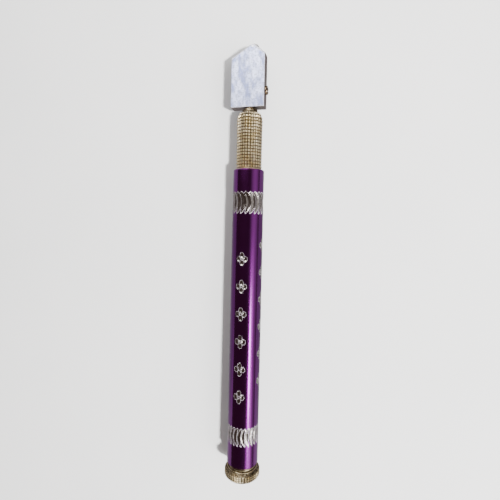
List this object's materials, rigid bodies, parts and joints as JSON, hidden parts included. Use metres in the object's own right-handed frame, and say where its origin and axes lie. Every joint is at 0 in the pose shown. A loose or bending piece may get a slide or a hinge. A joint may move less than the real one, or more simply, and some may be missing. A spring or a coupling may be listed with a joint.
{
  "type": "glass cutter",
  "caption": "Oil-fed glass cutter: carbide wheel in a flat swivelling head, sprung stem in a knurled collar, and an engraved tubular handle that holds the oil.",
  "frame": {"origin": "on the handle's axis, halfway along the handle tube", "axes": "+Y along the tool towards the cutting wheel, +Z square to the head plate's broad face, +X towards the lock screw"},
  "size_m": [0.0148, 0.1771, 0.0144],
  "materials": {
    "cast_alloy": "satin, as cast and ground",
    "carbide": "ground dark grey carbide",
    "steel": "plain turned steel",
    "spring_steel": "bright drawn wire",
    "brass": "plain turned brass",
    "nickel_brass": "pale bright plating over knurled brass",
    "rubber": "black nitrile rubber",
    "cotton": "twisted cotton",
    "anodised_aluminium": "bright purple anodising with cuts through to bare metal"
  },
  "bodies": {
    "handle": {"handle_tube": "anodised_aluminium", "front_bush": "brass", "rear_bush": "brass"},
    "collar_seal": {"collar_seal": "rubber"},
    "collar": {"collar": "nickel_brass", "stem_seal": "rubber", "seal_washer": "brass", "spring_seat": "brass", "valve_seat": "rubber", "return_spring": "spring_steel"},
    "stem": {"stem": "brass", "stem_clip": "steel", "spring_washer": "steel", "valve_nut": "brass", "wick": "cotton"},
    "head": {"head_plate": "cast_alloy", "wheel_axle": "steel"},
    "lock_screw": {"lock_screw": "brass"},
    "wheel": {"cutting_wheel": "carbide"},
    "cap_seal": {"cap_seal": "rubber"},
    "end_cap": {"end_cap": "nickel_brass"}
  },
  "joints": [
    {"name": "collar_travel", "type": "slide", "parent": "handle", "child": "collar_seal", "axis": [0, 1, 0], "range_m": [0, 0.007]},
    {"name": "collar_turn", "type": "hinge", "parent": "collar_seal", "child": "collar", "pos_m": [0, 0.0595, 0], "axis": [0, 1, 0], "range_deg": [0, 2520]},
    {"name": "feed_press", "type": "slide", "parent": "collar", "child": "stem", "axis": [0, -1, 0], "range_m": [0, 0.0005], "stiffness_N_per_m": 1500, "springref_m": -0.002, "deforming": ["return_spring"]},
    {"name": "head_swivel", "type": "hinge", "parent": "stem", "child": "head", "pos_m": [0, 0.0849, 0], "axis": [0, 1, 0], "continuous": true},
    {"name": "lock_turn", "type": "hinge", "parent": "head", "child": "lock_screw", "pos_m": [0.0062, 0.0919, 0], "axis": [-1, 0, 0], "range_deg": [0, 180]},
    {"name": "wheel_spin", "type": "hinge", "parent": "head", "child": "wheel", "pos_m": [0.0011, 0.1092, 0], "axis": [0, 0, 1], "continuous": true},
    {"name": "cap_travel", "type": "slide", "parent": "handle", "child": "cap_seal", "axis": [0, -1, 0], "range_m": [0, 0.0075]},
    {"name": "cap_turn", "type": "hinge", "parent": "cap_seal", "child": "end_cap", "pos_m": [0, -0.0595, 0], "axis": [0, -1, 0], "range_deg": [0, 2700]}
  ],
  "couplings": [
    {"joint": "collar_travel", "follows": "collar_turn", "m_per_rad": 0.00015915},
    {"joint": "cap_travel", "follows": "cap_turn", "m_per_rad": 0.00015915}
  ]
}
